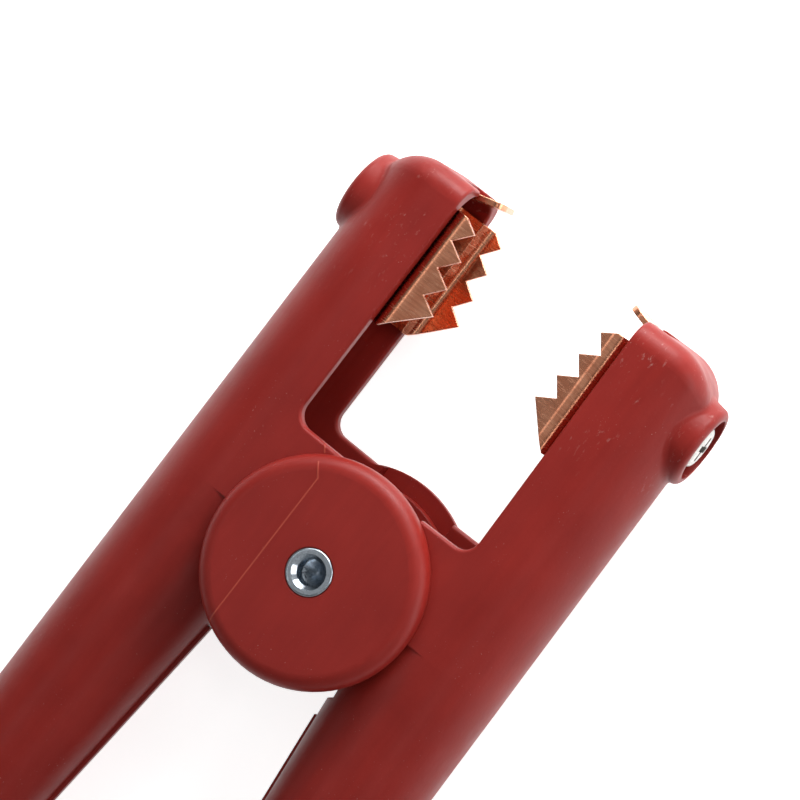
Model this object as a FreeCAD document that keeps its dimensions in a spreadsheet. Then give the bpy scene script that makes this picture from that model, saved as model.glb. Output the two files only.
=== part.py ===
import FreeCAD, Part
import math
import os

import Sketcher

# Large insulated crocodile clip lying on its side, jaws held open, in millimetres.
# The hinge axis is +Z through the origin, the jaws point along +X, the outer arm
# lies on the +Y side and the inner arm on the -Y side. The clip rests on z = 0
# with the flat face of its lower hinge disc and the flush head of its rivet.
# Both arms are drawn as the +Y one about the middle plane of the clip. The inner
# arm, its jaw and its screw are then turned over about the X axis.

doc = FreeCAD.newDocument("crocodile_clip")

# Driving sizes: alias, value, what it is.
SIZES = [
    ("arm_turn", 1.39, "turn of the inner arm from parallel, jaws closing, degrees"),
    ("arm_top", 35.5, "hinge axis to the outer side of an arm"),
    ("arm_radius", 12.7, "radius of the rounded outer side of an arm"),
    ("wall", 2.6, "wall of an arm"),
    ("rim", 18.8, "hinge axis to the rim of the jaw channel"),
    ("rim_round", 0.55, "rounding of the rims"),
    ("tip", 65.2, "hinge axis to the tip of an arm"),
    ("tip_wall", 1.2, "end wall at the tip"),
    ("crown_radius", 10.0, "radius of the arm's outer side as it curves down to the tip"),
    ("tip_round", 4.0, "rounding of the tip's edge"),
    ("tip_inner_round", 5.0, "rounding inside the tip"),
    ("elbow", 17.4, "hinge axis to the step behind the jaw channel"),
    ("elbow_round", 3.0, "rounding in the corner of that step"),
    ("neck_floor", 9.0, "hinge axis to the lower edge of the inner arm's neck"),
    ("outer_neck_floor", 7.0, "hinge axis to the lower edge of the outer arm's neck"),
    ("handle_length", 90.0, "hinge axis to the end of a handle"),
    ("handle_end_radius", 8.8, "radius of a handle at its end"),
    ("handle_end_round", 3.0, "rounding of a handle's end"),
    ("cable_hole_radius", 5.0, "radius of the cable entry in the end of a handle"),
    ("seam_width", 1.2, "width of the moulded rib along a handle"),
    ("seam_proud", 0.6, "height of that rib"),
    ("seam_start", 20.6, "hinge axis to the start of that rib"),
    ("disc_radius", 19.4, "radius of a hinge disc"),
    ("disc_thickness", 3.9, "thickness of a hinge disc"),
    ("disc_edge", 1.1, "straight part of a hinge disc's edge"),
    ("disc_gap", 0.2, "running gap between an ear and the disc over it"),
    ("ear_radius", 16.3, "radius of the inner arm's ears"),
    ("ear_gap", 0.5, "gap round an ear inside the outer arm"),
    ("boss_at", 53.4, "hinge axis to the axis of the screw boss"),
    ("boss_radius", 7.5, "outer radius of the screw boss"),
    ("boss_flare", 0.8, "how much wider the boss is at its root"),
    ("boss_proud", 1.7, "height of the boss over the arm"),
    ("boss_round", 1.3, "rounding of the boss's outer edge"),
    ("boss_blend", 1.3, "rounding between the boss and the arm"),
    ("boss_sunk", 4.5, "depth of the boss's root under the arm's outer side"),
    ("boss_bore_radius", 5.85, "radius of the bore over the screw head"),
    ("boss_floor", 33.6, "hinge axis to the floor of that bore"),
    ("post_radius", 5.6, "radius of the post that carries the jaw"),
    ("jaw_seat", 25.0, "hinge axis to the jaw's seat on the post"),
    ("sheet", 1.0, "thickness of the copper sheet"),
    ("jaw_rear", 37.8, "hinge axis to the rear end of a jaw"),
    ("jaw_front", 60.8, "hinge axis to the front end of a jaw's side plates"),
    ("jaw_gap", 0.6, "gap between a jaw's side plates and the arm's walls"),
    ("jaw_flare", 19.1, "hinge axis to the bend where the side plates flare out"),
    ("jaw_flare_drop", 1.6, "from that bend to the widest line of the side plates"),
    ("jaw_bulge_out", 2.1, "how far the side plates stand out at that line"),
    ("jaw_lean", 14.0, "lean of the toothed strips towards the middle, degrees"),
    ("jaw_base_bend", 2.2, "outer radius of the bends at the jaw's base"),
    ("jaw_bulge_bend", 2.6, "outer radius of the bends at the widest line"),
    ("tooth_shoulder", 16.6, "hinge axis to the corner where the front tooth starts to slope"),
    ("tooth_count", 4, "teeth on each side plate"),
    ("tooth_pitch", 4.9, "distance from tooth to tooth"),
    ("tooth_front", 59.2, "hinge axis to the front tooth, along the arm"),
    ("tooth_reach", 14.0, "hinge axis to the front tooth, across the arm"),
    ("tooth_line", 10.0, "slope of the line of teeth to the arm, degrees"),
    ("tooth_back", 3.0, "length of a tooth's rear flank along the arm"),
    ("tooth_depth", 2.4, "depth of the notch behind a tooth"),
    ("tongue_width", 10.0, "width of the tongue at the tip"),
    ("tongue_reach", 14.4, "hinge axis to the end of the tongue"),
    ("tongue_foot_gap", 2.0, "tip of the arm to the tongue's bend"),
    ("tongue_lean", 2.8, "how far the tongue leans out from its bend to its end"),
    ("tongue_end_round", 2.6, "rounding of the tongue's end"),
    ("notch_gap", 0.4, "gap round the tongue in the notch of the end wall"),
    ("tongue_bend", 2.0, "outer radius of the tongue's bend"),
    ("screw_radius", 2.0, "radius of the terminal screw's shank"),
    ("screw_gap", 0.2, "gap round the shank"),
    ("screw_length", 14.0, "length of the shank under the head"),
    ("screw_head_radius", 4.0, "radius of the screw's pan head"),
    ("screw_head_height", 2.6, "height of the pan head"),
    ("screw_head_round", 1.2, "rounding of the pan head"),
    ("cross_width", 1.1, "width of the cross recess"),
    ("cross_span", 4.6, "span of the cross recess"),
    ("cross_depth", 1.5, "depth of the cross recess"),
    ("washer_radius", 4.6, "radius of the washer under the head"),
    ("washer_height", 0.8, "thickness of the washer"),
    ("nut_width", 7.0, "width of the hexagon nut across its flats"),
    ("nut_height", 3.2, "height of the nut"),
    ("thread_gap", 0.03, "gap between the nut and the shank, thread left out"),
    ("rivet_radius", 3.0, "radius of the hinge rivet"),
    ("rivet_gap", 0.06, "running gap round the rivet"),
    ("rivet_head_radius", 5.0, "radius of the rivet's flat head"),
    ("rivet_head_height", 1.2, "height of the flat head"),
    ("rivet_roll_radius", 4.05, "radius of the rolled end"),
    ("rivet_roll_height", 1.1, "height of the rolled end"),
    ("rivet_roll_proud", 0.2, "how far the rolled end stands over the disc"),
    ("rivet_roll_round", 0.45, "rounding of the rolled end"),
    ("rivet_mouth_radius", 3.0, "radius of the hollow's countersunk mouth"),
    ("rivet_mouth_depth", 0.8, "depth of that mouth"),
    ("rivet_hollow_radius", 2.25, "radius of the hollow in the rolled end"),
    ("rivet_hollow_depth", 4.2, "straight depth of that hollow"),
    ("rivet_hollow_cone", 1.5, "depth of the cone at its end"),
    ("wire_radius", 1.0, "radius of the spring's wire"),
    ("coil_radius", 6.2, "mean radius of the spring's coil"),
    ("coil_pitch", 2.2, "distance from turn to turn"),
    ("coil_turns", 4, "whole turns between the spring's legs"),
    ("spring_room_radius", 20.5, "radius of the opening that lets the spring's legs in"),
    ("spring_room_gap", 0.8, "gap beside the spring in that opening"),
    ("leg_end", 30.0, "hinge axis to the end of a leg, along the handle"),
    ("leg_reach", 29.2, "hinge axis to the end of a leg, across the handle"),
]

# Sizes worked out from them: alias, formula.
WORKED_OUT = [
    ("arm_centre", "=arm_top - arm_radius"),
    ("inside_radius", "=arm_radius - wall"),
    ("tip_inside", "=tip - tip_wall"),
    ("handle_end_centre", "=arm_top - handle_end_radius"),
    ("handle_end_inside", "=handle_end_radius - wall"),
    ("handle_inside_length", "=handle_length - wall"),
    ("handle_drop", "=2 * (arm_radius - handle_end_radius) / handle_length"),
    ("seam_half_width", "=0.5 * seam_width"),
    ("seam_end", "=handle_length - handle_end_round"),
    ("seam_start_under", "=arm_top - 2 * arm_radius + seam_start * handle_drop - seam_proud"),
    ("seam_start_in", "=seam_start_under + seam_proud + 0.5 * wall"),
    ("seam_end_under", "=arm_top - 2 * arm_radius + seam_end * handle_drop - seam_proud"),
    ("seam_end_in", "=seam_end_under + seam_proud + 0.5 * wall"),
    ("disc_inside", "=arm_radius + disc_gap"),
    ("half_width", "=disc_inside + disc_thickness"),
    ("disc_round", "=disc_thickness - disc_edge"),
    ("ear_clear_radius", "=ear_radius + ear_gap"),
    ("root_radius", "=disc_radius - 0.5 * disc_gap"),
    ("root_half_chord", "=sqrt(root_radius ^ 2 - outer_neck_floor ^ 2)"),
    ("crown_shoulder", "=arm_top - crown_radius"),
    ("crown_start", "=tip - crown_radius"),
    ("crown_over", "=arm_top + wall"),
    ("tip_over", "=tip + wall"),
    ("root_thickness", "=disc_inside + 0.5 * disc_thickness - inside_radius"),
    ("boss_top", "=arm_top + boss_proud"),
    ("boss_shoulder", "=boss_top - 1.05 * boss_round"),
    ("boss_outer_x", "=boss_at + boss_radius"),
    ("boss_root_x", "=boss_outer_x + boss_flare"),
    ("boss_bore_x", "=boss_at + boss_bore_radius"),
    ("post_x", "=boss_at + post_radius"),
    ("boss_root", "=arm_top - boss_sunk"),
    ("screw_hole_radius", "=screw_radius + screw_gap"),
    ("screw_hole_x", "=boss_at + screw_hole_radius"),
    ("jaw_side", "=inside_radius - jaw_gap"),
    ("jaw_bulge", "=jaw_flare - jaw_flare_drop"),
    ("jaw_widest", "=jaw_side + jaw_bulge_out"),
    ("jaw_cut_line", "=tooth_reach - tooth_count * tooth_pitch * tan(tooth_line * 1 deg)"),
    ("jaw_foot", "=jaw_cut_line - sheet"),
    ("jaw_foot_side", "=jaw_widest - (jaw_bulge - jaw_foot) * tan(jaw_lean * 1 deg)"),
    ("jaw_length", "=jaw_front - jaw_rear"),
    ("jaw_ramp_end", "=jaw_bulge + 0.4 * sheet"),
    ("jaw_cut_rear", "=jaw_rear - sheet"),
    ("jaw_cut_front", "=jaw_front + sheet"),
    ("jaw_cut_foot", "=jaw_foot - 2 * sheet"),
    ("jaw_cut_width", "=2 * jaw_widest + 2 * sheet"),
    ("tongue_foot", "=tip - tongue_foot_gap"),
    ("tongue_face", "=tongue_foot + tongue_lean"),
    ("tongue_start", "=jaw_front - 2 * sheet"),
    ("tongue_side", "=0.5 * tongue_width"),
    ("notch_side", "=0.5 * tongue_width + notch_gap"),
    ("tongue_slope", "=(jaw_seat - tongue_reach) / tongue_lean"),
    ("notch_top", "=jaw_seat - (tip_inside - tongue_foot) * tongue_slope + notch_gap"),
    ("notch_depth", "=2 * wall"),
    ("washer_top", "=boss_floor + washer_height"),
    ("head_top", "=washer_top + screw_head_height"),
    ("screw_end", "=washer_top - screw_length"),
    ("screw_x", "=boss_at + screw_radius"),
    ("screw_head_x", "=boss_at + screw_head_radius"),
    ("cross_half", "=0.5 * cross_width"),
    ("cross_arm", "=0.5 * cross_span"),
    ("nut_top", "=jaw_seat - sheet"),
    ("nut_foot", "=nut_top - nut_height"),
    ("nut_hole_radius", "=screw_radius + thread_gap"),
    ("spring_room_half", "=0.5 * (coil_turns + 0.4) * coil_pitch + wire_radius + spring_room_gap"),
    ("rivet_hole_radius", "=rivet_radius + rivet_gap"),
    ("rivet_head_pocket", "=rivet_head_radius + rivet_gap"),
    ("rivet_roll_pocket", "=rivet_roll_radius + rivet_gap"),
    ("rivet_head_seat", "=half_width - rivet_head_height"),
    ("rivet_roll_top", "=half_width + rivet_roll_proud"),
    ("rivet_roll_seat", "=rivet_roll_top - rivet_roll_height"),
    ("rivet_roll_sunk", "=rivet_roll_height - rivet_roll_proud"),
    ("rivet_mouth_floor", "=rivet_roll_top - rivet_mouth_depth"),
    ("rivet_hollow_floor", "=rivet_roll_top - rivet_hollow_depth"),
    ("rivet_hollow_tip", "=rivet_hollow_floor - rivet_hollow_cone"),
]

sheet = doc.addObject("Spreadsheet::Sheet", "Sizes")
for row, (alias, value, meaning) in enumerate(SIZES, start=1):
    sheet.set("A%d" % row, meaning)
    sheet.set("B%d" % row, str(value))
    sheet.setAlias("B%d" % row, alias)
for row, (alias, formula) in enumerate(WORKED_OUT, start=len(SIZES) + 1):
    sheet.set("B%d" % row, formula)
    sheet.setAlias("B%d" % row, alias)
doc.recompute()


def size(ref):
    """Value of a size; a minus sign in front turns it round and 0 is the axis.

    A pair is a value with the expression that gives it."""
    if isinstance(ref, tuple):
        return ref[0]
    if ref == 0:
        return 0.0
    if ref.startswith("-"):
        return -float(getattr(sheet, ref[1:]))
    return float(getattr(sheet, ref))


def bound(ref):
    """Expression that ties a property to that size."""
    if isinstance(ref, tuple):
        return ref[1]
    if ref.startswith("-"):
        return "-Sizes." + ref[1:]
    return "Sizes." + ref


def new_body(name):
    body = doc.addObject("PartDesign::Body", name)
    body.Label = name
    return body


def origin_plane(body, role):
    for feature in body.Origin.OriginFeatures:
        if feature.Role == role:
            return feature
    raise RuntimeError("no plane " + role)


def sketch_on(body, name, role, offset=None):
    """Sketch on a plane of the body's origin, moved along its normal by a size."""
    sketch = body.newObject("Sketcher::SketchObject", name)
    sketch.AttachmentSupport = [(origin_plane(body, role), "")]
    sketch.MapMode = "FlatFace"
    if offset:
        sketch.setExpression("AttachmentOffset.Base.z", bound(offset))
    return sketch


def free_sketch(name):
    return doc.addObject("Sketcher::SketchObject", name)


def pin_point(sketch, geometry, end, point):
    """Hold one end of a line or arc at a point given by two sizes."""
    for kind, axis, ref in (("DistanceX", -2, point[0]), ("DistanceY", -1, point[1])):
        if ref == 0:
            sketch.addConstraint(Sketcher.Constraint("PointOnObject", geometry, end, axis))
            continue
        index = sketch.addConstraint(Sketcher.Constraint(kind, -1, 1, geometry, end, size(ref)))
        sketch.setExpression("Constraints[%d]" % index, bound(ref))


def place(point):
    return FreeCAD.Vector(size(point[0]), size(point[1]), 0)


def draw_polygon(sketch, points, closed=True):
    """Polygon, or open line, whose corners are pairs of sizes."""
    count = len(points) if closed else len(points) - 1
    lines = []
    for step in range(count):
        start = place(points[step])
        end = place(points[(step + 1) % len(points)])
        lines.append(sketch.addGeometry(Part.LineSegment(start, end)))
    for step in range(1, count):
        sketch.addConstraint(
            Sketcher.Constraint("Coincident", lines[step - 1], 2, lines[step], 1))
    if closed:
        sketch.addConstraint(Sketcher.Constraint("Coincident", lines[-1], 2, lines[0], 1))
    for step in range(count):
        pin_point(sketch, lines[step], 1, points[step])
    if not closed:
        pin_point(sketch, lines[-1], 2, points[-1])


def draw_circle(sketch, centre, radius):
    axis = FreeCAD.Vector(0, 0, 1)
    circle = sketch.addGeometry(Part.Circle(place(centre), axis, size(radius)))
    pin_point(sketch, circle, 3, centre)
    index = sketch.addConstraint(Sketcher.Constraint("Radius", circle, size(radius)))
    sketch.setExpression("Constraints[%d]" % index, bound(radius))


def draw_arch(sketch, centre, radius, foot):
    """Half circle towards +X of the sketch over two straight walls down to a foot."""
    c = size(centre)
    r = size(radius)
    circle = Part.Circle(FreeCAD.Vector(c, 0, 0), FreeCAD.Vector(0, 0, 1), r)
    arc = sketch.addGeometry(Part.ArcOfCircle(circle, -math.pi / 2, math.pi / 2))
    corners = [(size(foot), r), (size(foot), -r)]
    ends = [(c, r), (c, -r)]
    path = [ends[0], corners[0], corners[1], ends[1]]
    lines = []
    for start, end in zip(path, path[1:]):
        line = Part.LineSegment(FreeCAD.Vector(*start, 0), FreeCAD.Vector(*end, 0))
        lines.append(sketch.addGeometry(line))
    sketch.addConstraint(Sketcher.Constraint("Tangent", arc, 2, lines[0], 1))
    sketch.addConstraint(Sketcher.Constraint("Coincident", lines[0], 2, lines[1], 1))
    sketch.addConstraint(Sketcher.Constraint("Coincident", lines[1], 2, lines[2], 1))
    sketch.addConstraint(Sketcher.Constraint("Tangent", lines[2], 2, arc, 1))
    sketch.addConstraint(Sketcher.Constraint("Horizontal", lines[0]))
    sketch.addConstraint(Sketcher.Constraint("Vertical", lines[1]))
    pin_point(sketch, arc, 3, (centre, 0))
    index = sketch.addConstraint(Sketcher.Constraint("Radius", arc, r))
    sketch.setExpression("Constraints[%d]" % index, bound(radius))
    if foot == 0:
        sketch.addConstraint(Sketcher.Constraint("PointOnObject", lines[0], 2, -2))
    else:
        index = sketch.addConstraint(
            Sketcher.Constraint("DistanceX", -1, 1, lines[0], 2, size(foot)))
        sketch.setExpression("Constraints[%d]" % index, bound(foot))


def draw_crown(sketch):
    """Corner between the arm's outer side and its tip that the crown's arc cuts away."""
    centre = place(("crown_start", "crown_shoulder"))
    circle = Part.Circle(centre, FreeCAD.Vector(0, 0, 1), size("crown_radius"))
    arc = sketch.addGeometry(Part.ArcOfCircle(circle, 0, math.pi / 2))
    corners = [("crown_start", "arm_top"), ("crown_start", "crown_over"),
               ("tip_over", "crown_over"), ("tip_over", "crown_shoulder"),
               ("tip", "crown_shoulder")]
    lines = []
    for start, end in zip(corners, corners[1:]):
        lines.append(sketch.addGeometry(Part.LineSegment(place(start), place(end))))
    for first, second in zip(lines, lines[1:]):
        sketch.addConstraint(Sketcher.Constraint("Coincident", first, 2, second, 1))
    sketch.addConstraint(Sketcher.Constraint("Coincident", arc, 2, lines[0], 1))
    sketch.addConstraint(Sketcher.Constraint("Coincident", lines[-1], 2, arc, 1))
    for line, corner in zip(lines, corners):
        pin_point(sketch, line, 1, corner)
    pin_point(sketch, lines[-1], 2, corners[-1])
    index = sketch.addConstraint(
        Sketcher.Constraint("DistanceX", -1, 1, arc, 3, size("crown_start")))
    sketch.setExpression("Constraints[%d]" % index, bound("crown_start"))


def draw_segment(sketch, radius, chord, half_chord):
    """Part of a circle about the origin that lies beyond a chord across Y."""
    r = size(radius)
    angle = math.atan2(size(chord), size(half_chord))
    circle = Part.Circle(FreeCAD.Vector(0, 0, 0), FreeCAD.Vector(0, 0, 1), r)
    arc = sketch.addGeometry(Part.ArcOfCircle(circle, angle, math.pi - angle))
    start = FreeCAD.Vector(-size(half_chord), size(chord), 0)
    end = FreeCAD.Vector(size(half_chord), size(chord), 0)
    line = sketch.addGeometry(Part.LineSegment(start, end))
    sketch.addConstraint(Sketcher.Constraint("Coincident", arc, 2, line, 1))
    sketch.addConstraint(Sketcher.Constraint("Coincident", line, 2, arc, 1))
    sketch.addConstraint(Sketcher.Constraint("Coincident", arc, 3, -1, 1))
    sketch.addConstraint(Sketcher.Constraint("Horizontal", line))
    index = sketch.addConstraint(Sketcher.Constraint("Radius", arc, r))
    sketch.setExpression("Constraints[%d]" % index, bound(radius))
    index = sketch.addConstraint(
        Sketcher.Constraint("DistanceY", -1, 1, line, 1, size(chord)))
    sketch.setExpression("Constraints[%d]" % index, bound(chord))


def feature_from(body, kind, name, sketch):
    feature = body.newObject("PartDesign::" + kind, name)
    feature.Profile = sketch
    sketch.Visibility = False
    return feature


def extrude(body, kind, name, sketch, length, both_ways=False):
    """Pad or pocket; both ways it reaches the length to each side."""
    feature = feature_from(body, kind, name, sketch)
    if both_ways:
        feature.Midplane = True
        feature.setExpression("Length", "2 * " + bound(length))
    else:
        feature.setExpression("Length", bound(length))
    return feature


def turned(body, kind, name, sketch, axis):
    feature = feature_from(body, kind, name, sketch)
    feature.ReferenceAxis = (sketch, [axis])
    feature.Angle = 360
    return feature


def rounded(body, name, base, radius, wanted):
    """Fillet on the edges of a feature that a test picks."""
    doc.recompute()
    names = []
    for number, edge in enumerate(base.Shape.Edges, start=1):
        if wanted(edge):
            names.append("Edge%d" % number)
    if not names:
        raise RuntimeError("no edge to round for " + name)
    fillet = body.newObject("PartDesign::Fillet", name)
    fillet.Base = (base, names)
    fillet.setExpression("Radius", bound(radius))
    return fillet


def near(value, target):
    return abs(value - target) < 1e-4


def edge_box(edge):
    box = edge.BoundBox
    return box.XMin, box.XMax, box.YMin, box.YMax, box.ZMin, box.ZMax


# The arms are moulded in one piece each: a channel for the jaw, a neck and a tube.
def arm_form(body, floor):
    section = sketch_on(body, "channel_section", "YZ_Plane")
    draw_arch(section, "arm_centre", "arm_radius", "rim")
    extrude(body, "Pad", "channel", section, "tip")

    side = sketch_on(body, "neck_side", "XY_Plane")
    draw_polygon(side, [(0, floor), ("elbow", floor),
                        ("elbow", "arm_centre"), (0, "arm_centre")])
    extrude(body, "Pad", "neck", side, "arm_radius", both_ways=True)

    inside = sketch_on(body, "channel_inside", "YZ_Plane", "tip_inside")
    draw_arch(inside, "arm_centre", "inside_radius", 0)
    hollow = extrude(body, "Pocket", "channel_hollow", inside, "tip_inside")

    def inner_edges(edge):
        x0, x1, y0, y1, z0, z1 = edge_box(edge)
        return near(x0, size("tip_inside")) and near(x1, x0) and y1 > size("rim")

    def outer_edges(edge):
        x0, x1, y0, y1, z0, z1 = edge_box(edge)
        return (near(x0, size("tip")) and near(x1, x0) and y1 > size("rim") + size("rim_round")
                and abs(z0 + z1) > size("arm_radius"))

    def elbow_edge(edge):
        x0, x1, y0, y1, z0, z1 = edge_box(edge)
        return (near(x0, size("elbow")) and near(x1, x0)
                and near(y0, size("rim")) and near(y1, y0))

    rounded(body, "tip_inner_rounding", hollow, "tip_inner_round", inner_edges)
    crown_side = sketch_on(body, "crown_side", "XY_Plane")
    draw_crown(crown_side)
    crown = extrude(body, "Pocket", "crown", crown_side, "arm_radius", both_ways=True)
    outer = rounded(body, "tip_rounding", crown, "tip_round", outer_edges)
    step = rounded(body, "elbow_rounding", outer, "elbow_round", elbow_edge)

    def rim_edge(edge):
        x0, x1, y0, y1, z0, z1 = edge_box(edge)
        return (near(y0, size("rim")) and near(y1, y0) and near(z0, z1)
                and x1 - x0 > size("boss_radius"))

    rounded(body, "rim_rounding", step, "rim_round", rim_edge)

    notch = sketch_on(body, "notch_section", "YZ_Plane", "tip_over")
    draw_polygon(notch, [(0, "-notch_side"), ("notch_top", "-notch_side"),
                         ("notch_top", "notch_side"), (0, "notch_side")])
    extrude(body, "Pocket", "tongue_notch", notch, "notch_depth")


def handle_form(body):
    wide = sketch_on(body, "handle_root", "YZ_Plane")
    draw_circle(wide, ("arm_centre", 0), "arm_radius")
    narrow = sketch_on(body, "handle_end", "YZ_Plane", "-handle_length")
    draw_circle(narrow, ("handle_end_centre", 0), "handle_end_radius")
    handle = body.newObject("PartDesign::AdditiveLoft", "handle")
    handle.Profile = wide
    handle.Sections = [narrow]
    handle.Ruled = True

    def end_edge(edge):
        x0, x1, y0, y1, z0, z1 = edge_box(edge)
        return near(x0, -size("handle_length")) and near(x1, x0)

    rounded(body, "handle_end_rounding", handle, "handle_end_round", end_edge)

    rib = sketch_on(body, "seam_side", "XY_Plane")
    draw_polygon(rib, [("-seam_start", "seam_start_under"), ("-seam_start", "seam_start_in"),
                       ("-seam_end", "seam_end_in"), ("-seam_end", "seam_end_under")])
    extrude(body, "Pad", "seam_rib", rib, "seam_half_width", both_ways=True)

    wide_inside = sketch_on(body, "handle_root_inside", "YZ_Plane")
    draw_circle(wide_inside, ("arm_centre", 0), "inside_radius")
    narrow_inside = sketch_on(body, "handle_end_inside_circle", "YZ_Plane",
                              "-handle_inside_length")
    draw_circle(narrow_inside, ("handle_end_centre", 0), "handle_end_inside")
    bore = body.newObject("PartDesign::SubtractiveLoft", "handle_hollow")
    bore.Profile = wide_inside
    bore.Sections = [narrow_inside]
    bore.Ruled = True

    entry = sketch_on(body, "cable_entry_circle", "YZ_Plane", "-handle_length")
    draw_circle(entry, ("handle_end_centre", 0), "cable_hole_radius")
    hole = extrude(body, "Pocket", "cable_entry", entry, "handle_end_radius")
    hole.Reversed = True


# A cup over the screw head on the outer side, and a post that carries the jaw inside.
def screw_boss(body):
    cup = sketch_on(body, "boss_profile", "XY_Plane")
    draw_polygon(cup, [("boss_at", "jaw_seat"), ("post_x", "jaw_seat"), ("post_x", "boss_root"),
                       ("boss_root_x", "boss_root"), ("boss_outer_x", "boss_shoulder"),
                       ("boss_outer_x", "boss_top"), ("boss_at", "boss_top")])
    boss = turned(body, "Revolution", "boss", cup, "Edge7")

    def crown(edge):
        x0, x1, y0, y1, z0, z1 = edge_box(edge)
        return near(y0, size("boss_top")) and near(y1, y0)

    rim = rounded(body, "boss_rounding", boss, "boss_round", crown)
    height = size("boss_shoulder") - size("boss_root")

    def root_edge(edge):
        for point in edge.discretize(5):
            down = size("boss_shoulder") - point.y
            radius = size("boss_radius") + size("boss_flare") * down / height
            on_flank = abs(math.hypot(point.x - size("boss_at"), point.z) - radius) < 2e-3
            if not on_flank or down < 0.05 or down > height - 0.05:
                return False
        return True

    rounded(body, "boss_blending", rim, "boss_blend", root_edge)

    bore = sketch_on(body, "boss_bore_profile", "XY_Plane")
    draw_polygon(bore, [("boss_at", "jaw_seat"), ("screw_hole_x", "jaw_seat"),
                        ("screw_hole_x", "boss_floor"), ("boss_bore_x", "boss_floor"),
                        ("boss_bore_x", "boss_top"), ("boss_at", "boss_top")])
    turned(body, "Groove", "boss_bore", bore, "Edge6")


def both_sides(body, name, feature):
    """Copy of a feature on the other side of the middle plane."""
    mirror = body.newObject("PartDesign::Mirrored", name)
    mirror.Originals = [feature]
    mirror.MirrorPlane = (origin_plane(body, "XY_Plane"), [""])
    body.Tip = mirror
    return mirror


def spring_room(body):
    """Opening in the underside of the handle that the spring's leg passes through."""
    circle = sketch_on(body, "spring_room_circle", "XY_Plane")
    draw_circle(circle, (0, 0), "spring_room_radius")
    extrude(body, "Pocket", "spring_room", circle, "spring_room_half", both_ways=True)


def outer_arm():
    body = new_body("outer_arm_shell")
    arm_form(body, "outer_neck_floor")
    handle_form(body)
    screw_boss(body)

    root = sketch_on(body, "disc_root_side", "XY_Plane", "inside_radius")
    draw_segment(root, "root_radius", "outer_neck_floor", "root_half_chord")
    disc_root = extrude(body, "Pad", "disc_root", root, "root_thickness")
    doc.recompute()
    both_sides(body, "disc_roots", disc_root)

    clear = sketch_on(body, "ear_room_circle", "XY_Plane")
    draw_circle(clear, (0, 0), "ear_clear_radius")
    extrude(body, "Pocket", "ear_room", clear, "disc_inside", both_ways=True)
    spring_room(body)

    face = sketch_on(body, "disc_circle", "XY_Plane", "disc_inside")
    draw_circle(face, (0, 0), "disc_radius")
    disc = extrude(body, "Pad", "disc", face, "disc_thickness")
    doc.recompute()
    discs = both_sides(body, "discs", disc)

    def disc_edge(edge):
        x0, x1, y0, y1, z0, z1 = edge_box(edge)
        return near(abs(z0), size("half_width")) and near(z0, z1)

    rounded(body, "disc_rounding", discs, "disc_round", disc_edge)

    shank = sketch_on(body, "rivet_hole_circle", "XY_Plane")
    draw_circle(shank, (0, 0), "rivet_hole_radius")
    extrude(body, "Pocket", "rivet_hole", shank, "half_width", both_ways=True)

    head = sketch_on(body, "rivet_head_circle", "XY_Plane", "-half_width")
    draw_circle(head, (0, 0), "rivet_head_pocket")
    pocket = extrude(body, "Pocket", "rivet_head_recess", head, "rivet_head_height")
    pocket.Reversed = True

    roll = sketch_on(body, "rivet_roll_circle", "XY_Plane", "half_width")
    draw_circle(roll, (0, 0), "rivet_roll_pocket")
    extrude(body, "Pocket", "rivet_roll_recess", roll, "rivet_roll_sunk")
    return body


def inner_arm():
    body = new_body("inner_arm_shell")
    arm_form(body, "neck_floor")
    handle_form(body)
    screw_boss(body)

    ear = sketch_on(body, "ear_circle", "XY_Plane", "inside_radius")
    draw_circle(ear, (0, 0), "ear_radius")
    one_ear = extrude(body, "Pad", "ear", ear, "wall")
    doc.recompute()
    both_sides(body, "ears", one_ear)

    between = sketch_on(body, "ear_space_circle", "XY_Plane")
    draw_circle(between, (0, 0), "ear_clear_radius")
    extrude(body, "Pocket", "ear_space", between, "inside_radius", both_ways=True)
    spring_room(body)

    shank = sketch_on(body, "rivet_hole_circle", "XY_Plane")
    draw_circle(shank, (0, 0), "rivet_hole_radius")
    extrude(body, "Pocket", "rivet_hole", shank, "half_width", both_ways=True)
    return body


# A jaw is one pressed copper sheet: a base on the post, two toothed side plates that
# flare out past the rims and lean back in, and a tongue at the tip.
ACROSS_X = FreeCAD.Rotation(0.5, 0.5, 0.5, 0.5)
ALONG_Y = FreeCAD.Rotation(FreeCAD.Vector(1, 0, 0), -90)
UPRIGHT = FreeCAD.Rotation()


def bent_strip(name, points, turn, length, both_ways):
    """Sheet that follows an open line, extruded across the plane of that line."""
    line = doc.addObject("Sketcher::SketchObject", name + "_line")
    draw_polygon(line, points, closed=False)
    line.Placement.Rotation = turn
    section = doc.addObject("Part::Offset2D", name + "_section")
    section.Source = line
    section.setExpression("Value", bound("sheet"))
    section.Fill = True
    section.Mode = "Skin"
    section.Join = "Intersection"
    return extruded(name, section, turn, length, both_ways)


def extruded(name, profile, turn, length, both_ways):
    solid = doc.addObject("Part::Extrusion", name)
    solid.Base = profile
    solid.DirMode = "Custom"
    solid.Dir = turn.multVec(FreeCAD.Vector(0, 0, 1))
    solid.Solid = True
    solid.Symmetric = both_ways
    solid.setExpression("LengthFwd", bound(length))
    return solid


def joined(kind, name, base, tool):
    result = doc.addObject("Part::" + kind, name)
    result.Base = base
    result.Tool = tool
    return result


def bends_rounded(name, base, wanted):
    """Round bends; for each edge a test gives the bend's radius and the side, or None."""
    doc.recompute()
    edges = []
    for number, edge in enumerate(base.Shape.Edges, start=1):
        found = wanted(edge)
        if found:
            radius = size(found[0]) - (size("sheet") if found[1] == "inside" else 0)
            edges.append((number, radius, radius))
    if not edges:
        raise RuntimeError("no bend to round for " + name)
    fillet = doc.addObject("Part::Fillet", name)
    fillet.Base = base
    fillet.Edges = edges
    return fillet


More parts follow.
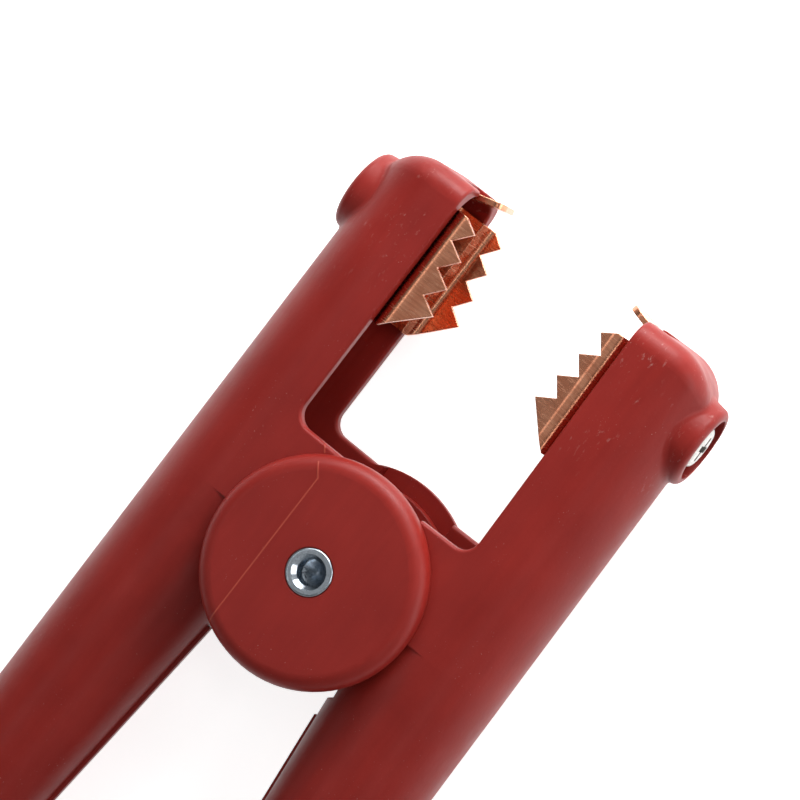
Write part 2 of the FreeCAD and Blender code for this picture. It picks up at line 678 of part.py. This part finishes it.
def tooth_outline():
    """Saw line of one side plate, from its front edge to the ramp at its rear."""
    points = [("jaw_front", "rim"), ("jaw_front", "tooth_shoulder")]
    slope = math.tan(math.radians(size("tooth_line")))
    for tooth in range(int(size("tooth_count"))):
        back = tooth * size("tooth_pitch")
        x = (size("tooth_front") - back, "Sizes.tooth_front - %d * Sizes.tooth_pitch" % tooth)
        y = (size("tooth_reach") - back * slope,
             "Sizes.tooth_reach - %d * Sizes.tooth_pitch * tan(Sizes.tooth_line * 1 deg)"
             % tooth)
        points.append((x, y))
        if tooth < int(size("tooth_count")) - 1:
            notch_x = (x[0] - size("tooth_back"), x[1] + " - Sizes.tooth_back")
            notch_y = (y[0] + size("tooth_depth"), y[1] + " + Sizes.tooth_depth")
            points.append((notch_x, notch_y))
    points.append(("jaw_rear", "jaw_ramp_end"))
    points.append(("jaw_cut_rear", "jaw_ramp_end"))
    points.append(("jaw_cut_rear", "jaw_cut_foot"))
    points.append(("jaw_cut_front", "jaw_cut_foot"))
    points.append(("jaw_cut_front", "rim"))
    return points


def jaw(name):
    half = [("jaw_foot", "jaw_foot_side"), ("jaw_bulge", "jaw_widest"),
            ("jaw_flare", "jaw_side"), ("jaw_seat", "jaw_side")]
    other_half = [(across, "-" + side) for across, side in reversed(half)]
    plates = bent_strip(name + "_plates", half + other_half, ACROSS_X, "jaw_length", False)
    plates.setExpression("Placement.Base.x", bound("jaw_rear"))

    def plate_bend(edge):
        x0, x1, y0, y1, z0, z1 = edge_box(edge)
        if not (near(y0, y1) and near(z0, z1)):
            return None
        if near(y0, size("jaw_seat")):
            return "jaw_base_bend", "outside"
        if near(y0, size("nut_top")):
            return "jaw_base_bend", "inside"
        if near(y0, size("jaw_bulge")):
            return "jaw_bulge_bend", "outside"
        if abs(y0 - size("jaw_bulge")) < 0.5 * size("sheet"):
            return "jaw_bulge_bend", "inside"
        return None

    pressed = bends_rounded(name + "_bends", plates, plate_bend)

    saw = doc.addObject("Sketcher::SketchObject", name + "_saw_line")
    draw_polygon(saw, tooth_outline())
    cutter = extruded(name + "_saw_cut", saw, UPRIGHT, "jaw_cut_width", True)
    toothed = joined("Cut", name + "_toothed", pressed, cutter)

    strip = bent_strip(name + "_tongue",
                       [("tongue_start", "jaw_seat"), ("tongue_foot", "jaw_seat"),
                        ("tongue_face", "tongue_reach")], UPRIGHT, "tongue_width", True)

    def tongue_bend(edge):
        x0, x1, y0, y1, z0, z1 = edge_box(edge)
        if near(abs(z0), size("tongue_side")) and near(z0, z1):
            if y1 < size("tongue_reach") + size("sheet") and x1 - x0 > 0.5 * size("sheet"):
                return "tongue_end_round", "outside"
            return None
        if not (near(x0, x1) and near(y0, y1)):
            return None
        if near(y0, size("jaw_seat")) and near(x0, size("tongue_foot")):
            return "tongue_bend", "outside"
        if near(y0, size("nut_top")) and abs(x0 - size("tongue_foot")) < 2 * size("sheet"):
            return "tongue_bend", "inside"
        return None

    tongue = bends_rounded(name + "_tongue_bend", strip, tongue_bend)
    whole = joined("Fuse", name + "_sheet", toothed, tongue)
    hole = post_cylinder(name + "_screw_hole", "screw_hole_radius", "screw_end", "screw_length")
    finished = joined("Cut", name, whole, hole)
    finished.Label = name
    return finished


def post_cylinder(name, radius, start, height):
    """Cylinder on the axis of the screw boss, from one height outwards."""
    cylinder = doc.addObject("Part::Cylinder", name)
    cylinder.Placement.Rotation = ALONG_Y
    cylinder.setExpression("Radius", bound(radius))
    cylinder.setExpression("Height", bound(height))
    cylinder.setExpression("Placement.Base.x", bound("boss_at"))
    cylinder.setExpression("Placement.Base.y", bound(start))
    return cylinder


def terminal_screw(name):
    body = new_body(name)
    profile = sketch_on(body, "screw_profile", "XY_Plane")
    draw_polygon(profile, [("boss_at", "screw_end"), ("screw_x", "screw_end"),
                           ("screw_x", "washer_top"), ("screw_head_x", "washer_top"),
                           ("screw_head_x", "head_top"), ("boss_at", "head_top")])
    turned_screw = turned(body, "Revolution", "screw", profile, "Edge6")

    def crown(edge):
        x0, x1, y0, y1, z0, z1 = edge_box(edge)
        return near(y0, size("head_top")) and near(y1, y0)

    rounded(body, "head_rounding", turned_screw, "screw_head_round", crown)

    # The recess is two crossed slots, cut down from the top of the head.
    for slot, (along_x, along_z) in enumerate((("cross_arm", "cross_half"),
                                               ("cross_half", "cross_arm"))):
        recess = sketch_on(body, "cross_slot_%d" % slot, "XZ_Plane", "-head_top")
        left = worked("boss_at", "-", along_x)
        right = worked("boss_at", "+", along_x)
        draw_polygon(recess, [(left, "-" + along_z), (right, "-" + along_z),
                              (right, along_z), (left, along_z)])
        cut = extrude(body, "Pocket", "cross_cut_%d" % slot, recess, "cross_depth")
        cut.Reversed = True
    return body


def worked(first, sign, second):
    """Sum or difference of two sizes, with its expression."""
    factor = 1 if sign == "+" else -1
    value = size(first) + factor * size(second)
    return value, "%s %s %s" % (bound(first), sign, bound(second))


def washer(name):
    disc = post_cylinder(name + "_disc", "washer_radius", "boss_floor", "washer_height")
    hole = post_cylinder(name + "_hole", "screw_hole_radius", "boss_floor", "washer_height")
    ring = joined("Cut", name, disc, hole)
    ring.Label = name
    return ring


def nut(name):
    hexagon = doc.addObject("Part::Prism", name + "_hexagon")
    hexagon.Polygon = 6
    hexagon.Placement.Rotation = ALONG_Y
    hexagon.setExpression("Circumradius", "Sizes.nut_width / sqrt(3)")
    hexagon.setExpression("Height", bound("nut_height"))
    hexagon.setExpression("Placement.Base.x", bound("boss_at"))
    hexagon.setExpression("Placement.Base.y", bound("nut_foot"))
    hole = post_cylinder(name + "_hole", "nut_hole_radius", "nut_foot", "nut_height")
    threaded = joined("Cut", name, hexagon, hole)
    threaded.Label = name
    return threaded


# The hinge rivet has a flat head, flush with the lower disc, and a rolled hollow end.
def hinge_rivet():
    body = new_body("hinge_rivet")
    profile = sketch_on(body, "rivet_profile", "XZ_Plane")
    draw_polygon(profile, [
        (0, "-half_width"), ("rivet_head_radius", "-half_width"),
        ("rivet_head_radius", "-rivet_head_seat"), ("rivet_radius", "-rivet_head_seat"),
        ("rivet_radius", "rivet_roll_seat"), ("rivet_roll_radius", "rivet_roll_seat"),
        ("rivet_roll_radius", "rivet_roll_top"), ("rivet_mouth_radius", "rivet_roll_top"),
        ("rivet_hollow_radius", "rivet_mouth_floor"),
        ("rivet_hollow_radius", "rivet_hollow_floor"), (0, "rivet_hollow_tip")])
    rivet = turned(body, "Revolution", "rivet", profile, "Edge11")

    def rolled(edge):
        x0, x1, y0, y1, z0, z1 = edge_box(edge)
        return (near(z0, size("rivet_roll_top")) and near(z1, z0)
                and x1 > size("rivet_mouth_radius") + size("rivet_roll_round"))

    rounded(body, "roll_rounding", rivet, "rivet_roll_round", rolled)
    return body


# The spring is one wire: a coil round the rivet and a straight leg into each handle.
def torsion_spring():
    radius = size("coil_radius")
    wire = size("wire_radius")
    reach = FreeCAD.Vector(-size("leg_end"), size("leg_reach"), 0)
    # Each leg leaves the coil along its tangent; the inner one is turned with its arm.
    foot = math.atan2(reach.y, reach.x) - math.acos(radius / reach.Length)
    turn = math.radians(size("arm_turn"))
    height = (size("coil_turns") + (2 * foot - turn) / (2 * math.pi)) * size("coil_pitch")
    helix = Part.makeHelix(size("coil_pitch"), height, radius)
    helix.rotate(FreeCAD.Vector(0, 0, 0), FreeCAD.Vector(0, 0, 1), math.degrees(turn - foot))
    helix.translate(FreeCAD.Vector(0, 0, -height / 2))
    first = FreeCAD.Vector(radius * math.cos(turn - foot), radius * math.sin(turn - foot),
                           -height / 2)
    last = FreeCAD.Vector(radius * math.cos(foot), radius * math.sin(foot), height / 2)
    aside = FreeCAD.Rotation(FreeCAD.Vector(0, 0, 1), size("arm_turn"))
    inner_end = aside.multVec(FreeCAD.Vector(reach.x, -reach.y, first.z))
    outer_end = FreeCAD.Vector(reach.x, reach.y, last.z)
    path = Part.Wire([Part.makeLine(inner_end, first)] + helix.Edges
                     + [Part.makeLine(last, outer_end)])
    section = Part.Wire(Part.makeCircle(wire, inner_end, first - inner_end))
    spring = doc.addObject("Part::Feature", "torsion_spring")
    spring.Shape = path.makePipeShell([section], True, True)
    spring.Label = "torsion_spring"
    return spring


def turned_over(piece):
    """Turn an inner piece over onto the -Y side and then about the hinge by its turn."""
    half_turn = math.radians(0.5 * size("arm_turn"))
    axis = FreeCAD.Vector(math.cos(half_turn), math.sin(half_turn), 0)
    piece.Placement.Rotation = FreeCAD.Rotation(axis, 180)
    return piece


pieces = [
    outer_arm(),
    turned_over(inner_arm()),
    jaw("outer_jaw"),
    turned_over(jaw("inner_jaw")),
    terminal_screw("outer_terminal_screw"),
    turned_over(terminal_screw("inner_terminal_screw")),
    washer("outer_screw_washer"),
    turned_over(washer("inner_screw_washer")),
    nut("outer_terminal_nut"),
    turned_over(nut("inner_terminal_nut")),
    hinge_rivet(),
    torsion_spring(),
]
for piece in pieces:
    piece.setExpression("Placement.Base.z", bound("half_width"))
doc.recompute()

for item in doc.Objects:
    if "Invalid" in item.State or "Error" in item.State:
        raise RuntimeError("failed: " + item.Label)
os.makedirs("parts", exist_ok=True)
for piece in pieces:
    shape = piece.Shape
    if shape.isNull() or not shape.isValid():
        raise RuntimeError("bad shape: " + piece.Label)
    print(piece.Label, len(shape.Solids), "solid", round(shape.Volume, 1), "mm3")
    shape.exportStep("parts/%s.step" % piece.Label)
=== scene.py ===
import math

import bpy
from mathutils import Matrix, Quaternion, Vector

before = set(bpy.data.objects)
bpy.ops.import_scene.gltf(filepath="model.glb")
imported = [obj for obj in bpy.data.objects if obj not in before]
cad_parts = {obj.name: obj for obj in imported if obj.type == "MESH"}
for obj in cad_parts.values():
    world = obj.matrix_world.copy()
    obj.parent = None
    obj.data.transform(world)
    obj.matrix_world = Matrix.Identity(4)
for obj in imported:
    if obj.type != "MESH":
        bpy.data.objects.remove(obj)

# Looks of a large insulated crocodile clip, laid on its side on a pale studio floor.
# The row frame is in metres: the hinge axis is +Z through the origin, the jaws point
# along +X and the floor is z = 0. Patterns in the materials are laid out in millimetres.

bl_info = {
    "name": "Crocodile clip",
    "version": (1, 0, 0),
    "blender": (4, 5, 0),
    "location": "3D View > Sidebar > Clip",
    "description": "Finishes of an insulated crocodile clip and the studio it is shown in",
    "category": "Object",
}

MM = 0.001

# From the floor to the clip's mid-plane, and the height over the floor at which the upper
# disc's face sets in, in millimetres.
HALF_WIDTH = 16.8
DISC_FACE = (2 * HALF_WIDTH - 5.0, 2 * HALF_WIDTH - 4.6)

# How far from the hinge, in millimetres, the scuffs begin and are full.
SCUFFED = (34.0, 58.0)

# Lines left on the upper disc and on the neck beside it where the mould's parts met, and
# the distances in millimetres at which a line is full and has gone.
WITNESS_LINES = (((14.9, 10.1), (12.8, 8.4)),
                 ((12.8, 8.4), (-17.3, 8.4)),
                 ((17.2, 11.9), (16.2, 11.1)))
WITNESS_WIDTH = (0.05, 0.2)

# Radii in millimetres by which the renderer softens the pieces' sharp edges.
PLASTIC_EDGE = 0.35
COPPER_EDGE = 0.25
STEEL_EDGE = 0.12

# Soft lights: name, place, width and height in metres, setting and share of it. The two
# long strips over the clip draw the bright lines along the copper bends.
LIGHTS = (
    ("key", (0.40, -0.10, 0.31), 0.34, 0.28, "key_light", 1.0),
    ("fill", (0.42, 0.38, 0.28), 0.35, 0.25, "fill_light", 1.0),
    ("side", (0.25, -0.50, 0.14), 0.40, 0.16, "side_light", 1.0),
    ("front", (0.36, 0.05, 0.13), 0.30, 0.14, "front_light", 1.0),
    ("outer strip", (-0.04, 0.27, 0.54), 0.60, 0.11, "strip_lights", 1.05),
    ("inner strip", (-0.04, -0.37, 0.46), 0.60, 0.05, "strip_lights", 1.0),
)
AIM = (0.02, 0.0, HALF_WIDTH * MM)
PAPER_REACH = 4.0

# The room's brightness over the sine of the height: pale round the floor, dark above, and
# a little paler straight overhead.
ROOM_DARKENS = (0.10, 0.62)
ROOM_ZENITH = (0.89, 0.96)

# The camera of the photo, in metres, with its lens for a 36 mm wide sensor.
CAMERA_PLACE = (0.08258, -0.11946, 0.55184)
CAMERA_TURN = (0.892511, 0.084712, 0.094867, -0.432721)
SENSOR_WIDTH = 36.0
FOCAL_LENGTH = 149.25


def linear(code):
    """Scene-linear colour of an sRGB hex code."""
    parts = [int(code[i:i + 2], 16) / 255 for i in (1, 3, 5)]
    parts = [c / 12.92 if c <= 0.04045 else ((c + 0.055) / 1.055) ** 2.4 for c in parts]
    return (*parts, 1.0)


def add_node(tree, kind, inputs=(), **settings):
    """Shader node with its settings; an input is a constant or another node's output."""
    node = tree.nodes.new("ShaderNode" + kind)
    for name, value in settings.items():
        setattr(node, name, value)
    for key, value in dict(inputs).items():
        socket = node.inputs[key]
        if isinstance(value, bpy.types.NodeSocket):
            tree.links.new(value, socket)
        else:
            socket.default_value = value
    return node


def maths(tree, operation, *values, clamp=False):
    """Result of one arithmetic step on constants and outputs."""
    node = add_node(tree, "Math", enumerate(values), operation=operation, use_clamp=clamp)
    return node.outputs[0]


def blended(tree, amount, first, second):
    """Colour between two others."""
    node = add_node(tree, "Mix", {0: amount, 6: first, 7: second}, data_type="RGBA")
    return node.outputs[2]


def graded(tree, value, low, high, start=0.0, end=1.0):
    """Value carried over from one span to another and held inside it."""
    node = add_node(tree, "MapRange", {0: value, 1: low, 2: high, 3: start, 4: end})
    return node.outputs[0]


def noise(tree, place, scale, detail=2.0, roughness=0.5, stretch=None):
    """Noise whose scale is in cycles per millimetre, drawn out by a stretch along an axis."""
    if stretch:
        place = add_node(tree, "VectorMath", {0: place, 1: stretch},
                         operation="MULTIPLY").outputs[0]
    node = add_node(tree, "TexNoise", {"Vector": place, "Scale": scale, "Detail": detail,
                                       "Roughness": roughness})
    return node.outputs["Fac"]


def new_material(name):
    """Material with a principled surface and its places in millimetres."""
    material = bpy.data.materials.new(name)
    material.use_nodes = True
    tree = material.node_tree
    surface = tree.nodes["Principled BSDF"]
    place = add_node(tree, "TexCoord").outputs["Object"]
    scaled = add_node(tree, "VectorMath", {0: place, "Scale": 1 / MM}, operation="SCALE")
    return material, tree, surface, scaled.outputs[0]


def soft_edges(tree, radius):
    """Normal rounded at the edges by a radius in millimetres."""
    return add_node(tree, "Bevel", {"Radius": radius * MM}, samples=4).outputs[0]


def bump(tree, surface, height, depth, strength, normal):
    """Fine relief on a surface, its depth in millimetres."""
    relief = add_node(tree, "Bump", {"Height": height, "Distance": depth * MM,
                                     "Strength": strength, "Normal": normal})
    tree.links.new(relief.outputs[0], surface.inputs["Normal"])


def near_segment(tree, place, start, end):
    """Distance in millimetres, seen from above, to a straight line between two points."""
    flat = add_node(tree, "VectorMath", {0: place, 1: (1.0, 1.0, 0.0)},
                    operation="MULTIPLY").outputs[0]
    along = Vector((end[0] - start[0], end[1] - start[1], 0.0))
    offset = add_node(tree, "VectorMath", {0: flat, 1: (start[0], start[1], 0.0)},
                      operation="SUBTRACT").outputs[0]
    dot = add_node(tree, "VectorMath", {0: offset, 1: along / along.length_squared},
                   operation="DOT_PRODUCT").outputs["Value"]
    # The foot of the point on the line stays between its ends.
    share = maths(tree, "ADD", dot, 0.0, clamp=True)
    foot = add_node(tree, "VectorMath", {0: along, "Scale": share},
                    operation="SCALE").outputs[0]
    return add_node(tree, "VectorMath", {0: offset, 1: foot},
                    operation="DISTANCE").outputs["Value"]


def witness_lines(tree, place):
    """Strength of the mould's lines, on the upper disc's face alone."""
    height = add_node(tree, "SeparateXYZ", {0: place}).outputs[2]
    nearest = None
    for start, end in WITNESS_LINES:
        distance = near_segment(tree, place, start, end)
        if nearest is None:
            nearest = distance
        else:
            nearest = maths(tree, "MINIMUM", nearest, distance)
    line = graded(tree, nearest, *WITNESS_WIDTH, start=1.0, end=0.0)
    return maths(tree, "MULTIPLY", line, graded(tree, height, *DISC_FACE))


def tip_scuffs(tree, place, strength):
    """Strength of the scuffs, which lie in patches and grow towards the tips."""
    along = add_node(tree, "SeparateXYZ", {0: place}).outputs[0]
    scratches = noise(tree, place, 1.3, 4.0, 0.65, (0.5, 1.0, 1.0))
    patches = noise(tree, place, 0.16, 2.0)
    scuffs = graded(tree, scratches, 0.60, 0.72)
    scuffs = maths(tree, "MULTIPLY", scuffs, graded(tree, patches, 0.48, 0.66))
    scuffs = maths(tree, "MULTIPLY", scuffs, graded(tree, along, *SCUFFED))
    return maths(tree, "MULTIPLY", scuffs, strength)


def dust_specks(tree, place):
    """Strength of the pale specks of dust, which lie in patches."""
    patches = noise(tree, place, 0.11, 2.0)
    specks = graded(tree, noise(tree, place, 3.4, 1.0), 0.74, 0.78)
    return maths(tree, "MULTIPLY", specks, graded(tree, patches, 0.5, 0.65))


def red_plastic(tuning):
    """Satin red moulded plastic with light scuffs towards the tips."""
    material, tree, surface, place = new_material("Red moulded plastic")
    scuffs = tip_scuffs(tree, place, tuning.scuffs)
    specks = dust_specks(tree, place)
    line = witness_lines(tree, place)

    cloudy = graded(tree, noise(tree, place, 0.07, 3.0), 0.3, 0.7)
    flow = noise(tree, place, 0.9, 3.0, 0.55, (0.12, 1.0, 1.0))
    flow = graded(tree, flow, 0.35, 0.75, 0.0, 0.22)
    colour = blended(tree, cloudy, linear("#88201A"), linear("#962720"))
    colour = blended(tree, flow, colour, linear("#741816"))
    colour = blended(tree, scuffs, colour, linear("#B5837E"))
    colour = blended(tree, maths(tree, "MULTIPLY", specks, 0.4), colour, linear("#D3A59E"))
    colour = blended(tree, maths(tree, "MULTIPLY", line, 0.45), colour, linear("#C8604C"))
    tree.links.new(colour, surface.inputs["Base Color"])

    rough = graded(tree, noise(tree, place, 0.25, 3.0), 0.3, 0.7, 0.36, 0.46)
    rough = maths(tree, "ADD", rough, maths(tree, "MULTIPLY", scuffs, 0.2))
    tree.links.new(rough, surface.inputs["Roughness"])
    surface.inputs["IOR"].default_value = 1.47
    surface.inputs["Specular IOR Level"].default_value = 0.28
    surface.inputs["Subsurface Weight"].default_value = 0.08
    surface.inputs["Subsurface Radius"].default_value = (1.0 * MM, 0.25 * MM, 0.2 * MM)

    grain = maths(tree, "ADD", noise(tree, place, 1.6, 2.0),
                  maths(tree, "MULTIPLY", noise(tree, place, 0.3, 2.0), 1.6))
    relief = maths(tree, "ADD", grain, maths(tree, "MULTIPLY", line, 3.0))
    bump(tree, surface, relief, 0.035, tuning.grain, soft_edges(tree, PLASTIC_EDGE))
    return material


def copper_sheet(tuning):
    """Bare copper sheet with drawn strokes and a painted highlight along its edges."""
    material, tree, surface, place = new_material("Copper sheet")
    strokes = noise(tree, place, 2.2, 3.0, 0.6, (1.0, 0.08, 0.08))
    tarnish = graded(tree, noise(tree, place, 0.22, 3.0, 0.6), 0.3, 0.7)
    scratches = noise(tree, place, 3.2, 3.0, 0.7, (1.0, 0.14, 0.14))
    scratches = graded(tree, scratches, 0.56, 0.68)

    # An edge is where the softened normal turns away from the sheet's own; there the copper
    # gets a painted highlight.
    normal = add_node(tree, "NewGeometry").outputs["Normal"]
    edge_normal = soft_edges(tree, COPPER_EDGE)
    turn = add_node(tree, "VectorMath", {0: normal, 1: edge_normal},
                    operation="DOT_PRODUCT").outputs["Value"]
    edge_highlight = graded(tree, turn, 0.80, 0.98, 0.8, 0.0)

    darkened = graded(tree, strokes, 0.35, 0.7, 0.0, 0.45)
    colour = blended(tree, tarnish, linear("#DE8C6A"), linear("#F4AD8A"))
    colour = blended(tree, darkened, colour, linear("#9A5A40"))
    # Painted highlight: pale copper along the edges, standing in for light caught there.
    colour = blended(tree, edge_highlight, colour, linear("#FFC3A0"))
    colour = blended(tree, maths(tree, "MULTIPLY", scratches, 0.3), colour,
                     linear("#FFC8A8"))
    tree.links.new(colour, surface.inputs["Base Color"])
    surface.inputs["Metallic"].default_value = 1.0

    smoothest = tuning.copper_roughness
    rough = graded(tree, strokes, 0.3, 0.75, smoothest, smoothest + 0.12)
    rough = maths(tree, "ADD", rough, maths(tree, "MULTIPLY", scratches, 0.16))
    tree.links.new(rough, surface.inputs["Roughness"])
    bump(tree, surface, strokes, 0.02, 0.6, edge_normal)
    return material


def plated_steel(name, colour, roughness, stroke=(1.0, 1.0, 1.0)):
    """Plated steel with a fine drawn or turned finish."""
    material, tree, surface, place = new_material(name)
    marks = noise(tree, place, 3.0, 3.0, 0.6, stroke)
    shade = blended(tree, graded(tree, marks, 0.3, 0.75, 0.0, 0.4), linear(colour),
                    linear("#6F7378"))
    tree.links.new(shade, surface.inputs["Base Color"])
    surface.inputs["Metallic"].default_value = 1.0
    rough = graded(tree, marks, 0.3, 0.7, roughness, roughness + 0.14)
    tree.links.new(rough, surface.inputs["Roughness"])
    bump(tree, surface, marks, 0.01, 0.5, soft_edges(tree, STEEL_EDGE))
    return material


class ClipSettings(bpy.types.PropertyGroup):
    """What can be tuned on the finishes and in the studio."""

    scuffs: bpy.props.FloatProperty(
        name="Scuffs", description="Strength of the pale scuffs near the tips",
        default=0.75, min=0.0, max=1.0)
    grain: bpy.props.FloatProperty(
        name="Grain", description="Strength of the moulded surface's fine relief",
        default=0.5, min=0.0, max=1.0)
    copper_roughness: bpy.props.FloatProperty(
        name="Copper roughness", description="Roughness of the smoothest copper",
        default=0.16, min=0.05, max=0.8)
    key_light: bpy.props.FloatProperty(
        name="Key light", description="Power of the large soft light, in watts",
        default=0.65, min=0.0, max=200.0)
    fill_light: bpy.props.FloatProperty(
        name="Fill light", description="Power of the light on the other side, in watts",
        default=0.7, min=0.0, max=200.0)
    side_light: bpy.props.FloatProperty(
        name="Side light", description="Power of the low light beside the clip, in watts",
        default=0.8, min=0.0, max=200.0)
    front_light: bpy.props.FloatProperty(
        name="Front light", description="Power of the low light before the tips, in watts",
        default=1.5, min=0.0, max=200.0)
    strip_lights: bpy.props.FloatProperty(
        name="Strip lights", description="Power of each long light overhead, in watts",
        default=0.25, min=0.0, max=200.0)
    surroundings: bpy.props.FloatProperty(
        name="Surroundings", description="Brightness of the room near the floor",
        default=0.54, min=0.0, max=4.0)
    overhead: bpy.props.FloatProperty(
        name="Overhead", description="Brightness of the room overhead",
        default=0.15, min=0.0, max=4.0)
    zenith: bpy.props.FloatProperty(
        name="Zenith", description="Brightness straight overhead, on top of the room's",
        default=0.3, min=0.0, max=4.0)
    paper_glow: bpy.props.FloatProperty(
        name="Paper glow", description="Light that comes through the paper floor",
        default=0.75, min=0.0, max=2.0)


def dress(nodes, material):
    """Give pieces one material."""
    for name in nodes:
        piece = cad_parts[name]
        piece.data.materials.clear()
        piece.data.materials.append(material)


class CLIP_OT_arms(bpy.types.Operator):
    """Finish the two moulded arms"""

    bl_idname = "clip.arms"
    bl_label = "Arms"

    def execute(self, context):
        dress(["outer_arm_shell", "inner_arm_shell"],
              red_plastic(context.scene.clip))
        return {"FINISHED"}


class CLIP_OT_jaws(bpy.types.Operator):
    """Finish the two toothed copper jaws"""

    bl_idname = "clip.jaws"
    bl_label = "Jaws"

    def execute(self, context):
        dress(["outer_jaw", "inner_jaw"], copper_sheet(context.scene.clip))
        return {"FINISHED"}


class CLIP_OT_terminals(bpy.types.Operator):
    """Finish the terminal screws with their washers and nuts"""

    bl_idname = "clip.terminals"
    bl_label = "Screw terminals"

    def execute(self, context):
        steel = plated_steel("Nickel-plated steel", "#C9C7C2", 0.24)
        dress(["outer_terminal_screw", "inner_terminal_screw", "outer_screw_washer",
               "inner_screw_washer", "outer_terminal_nut", "inner_terminal_nut"],
              steel)
        return {"FINISHED"}


class CLIP_OT_hinge(bpy.types.Operator):
    """Finish the hinge rivet and the torsion spring"""

    bl_idname = "clip.hinge"
    bl_label = "Hinge"

    def execute(self, context):
        rivet = plated_steel("Zinc-plated rivet steel", "#B9C2CB", 0.13)
        spring = plated_steel("Spring steel", "#8B8B8C", 0.3, (0.2, 0.2, 1.0))
        dress(["hinge_rivet"], rivet)
        dress(["torsion_spring"], spring)
        return {"FINISHED"}


def add_paper(glow):
    """White paper that serves as the floor, lit through from behind."""
    paper = bpy.data.materials.new("White paper")
    paper.use_nodes = True
    tree = paper.node_tree
    surface = tree.nodes["Principled BSDF"]
    surface.inputs["Base Color"].default_value = linear("#F6F6F6")
    surface.inputs["Roughness"].default_value = 0.9
    surface.inputs["Specular IOR Level"].default_value = 0.1
    surface.inputs["Emission Color"].default_value = linear("#FFFFFF")
    # The camera and the shiny pieces see the glow, and it lights nothing else.
    rays = add_node(tree, "LightPath").outputs
    seen = maths(tree, "MAXIMUM", rays["Is Camera Ray"], rays["Is Glossy Ray"])
    tree.links.new(maths(tree, "MULTIPLY", glow, seen), surface.inputs["Emission Strength"])

    corners = [(-PAPER_REACH, -PAPER_REACH, 0), (PAPER_REACH, -PAPER_REACH, 0),
               (PAPER_REACH, PAPER_REACH, 0), (-PAPER_REACH, PAPER_REACH, 0)]
    mesh = bpy.data.meshes.new("floor")
    mesh.from_pydata(corners, [], [(0, 1, 2, 3)])
    mesh.materials.append(paper)
    floor = bpy.data.objects.new("floor", mesh)
    bpy.context.scene.collection.objects.link(floor)
    return floor


def add_light(name, place, width, height, power):
    """Rectangular soft light that faces the clip."""
    light = bpy.data.lights.new(name, "AREA")
    light.shape = "RECTANGLE"
    light.size = width
    light.size_y = height
    light.energy = power
    lamp = bpy.data.objects.new(name, light)
    lamp.location = place
    away = Vector(place) - Vector(AIM)
    lamp.rotation_euler = away.to_track_quat("Z", "Y").to_euler()
    bpy.context.scene.collection.objects.link(lamp)


def add_room(tuning):
    """Surroundings that light the clip and that the camera sees as white."""
    world = bpy.data.worlds.new("Pale room")
    bpy.context.scene.world = world
    world.use_nodes = True
    tree = world.node_tree
    direction = add_node(tree, "TexCoord").outputs["Generated"]
    rise = add_node(tree, "SeparateXYZ", {0: direction}).outputs[2]
    level = graded(tree, rise, *ROOM_DARKENS, start=tuning.surroundings, end=tuning.overhead)
    zenith = graded(tree, rise, *ROOM_ZENITH, start=0.0, end=tuning.zenith)
    level = maths(tree, "ADD", level, zenith)
    seen = add_node(tree, "LightPath").outputs["Is Camera Ray"]
    strength = add_node(tree, "Mix", {0: seen, 2: level, 3: 1.0}).outputs[0]
    background = tree.nodes["Background"]
    background.inputs["Color"].default_value = linear("#FFFFFF")
    tree.links.new(strength, background.inputs["Strength"])


def add_camera():
    """Camera at the photo's place, with its long lens."""
    lens = bpy.data.cameras.new("camera")
    lens.sensor_width = SENSOR_WIDTH
    lens.lens = FOCAL_LENGTH
    lens.clip_start = 0.01
    lens.clip_end = 20.0
    camera = bpy.data.objects.new("camera", lens)
    camera.location = CAMERA_PLACE
    camera.rotation_mode = "QUATERNION"
    camera.rotation_quaternion = Quaternion(CAMERA_TURN)
    bpy.context.scene.collection.objects.link(camera)
    bpy.context.scene.camera = camera


class CLIP_OT_stage(bpy.types.Operator):
    """Set up the floor, the soft lights, the surroundings and the camera"""

    bl_idname = "clip.stage"
    bl_label = "Studio"

    def execute(self, context):
        tuning = context.scene.clip
        add_paper(tuning.paper_glow)
        for name, place, width, height, setting, share in LIGHTS:
            add_light(name, place, width, height, share * getattr(tuning, setting))
        add_room(tuning)
        add_camera()
        context.scene.view_settings.view_transform = "Standard"
        return {"FINISHED"}


class CLIP_PT_panel(bpy.types.Panel):
    """Buttons and settings of the clip"""

    bl_idname = "CLIP_PT_panel"
    bl_label = "Crocodile clip"
    bl_space_type = "VIEW_3D"
    bl_region_type = "UI"
    bl_category = "Clip"

    def draw(self, context):
        layout = self.layout
        for operator in OPERATORS:
            layout.operator(operator.bl_idname)
        for name in ClipSettings.__annotations__:
            layout.prop(context.scene.clip, name)


OPERATORS = (CLIP_OT_arms, CLIP_OT_jaws, CLIP_OT_terminals, CLIP_OT_hinge, CLIP_OT_stage)
CLASSES = (ClipSettings, *OPERATORS, CLIP_PT_panel)


def register():
    for cls in CLASSES:
        bpy.utils.register_class(cls)
    bpy.types.Scene.clip = bpy.props.PointerProperty(type=ClipSettings)


def unregister():
    del bpy.types.Scene.clip
    for cls in reversed(CLASSES):
        bpy.utils.unregister_class(cls)


def main():
    """Dress the clip and set up its studio."""
    register()
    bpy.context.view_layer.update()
    for operator in OPERATORS:
        group, name = operator.bl_idname.split(".")
        result = getattr(getattr(bpy.ops, group), name)()
        if result != {"FINISHED"}:
            raise RuntimeError(operator.bl_label + " did not finish")


if __name__ == "__main__":
    main()
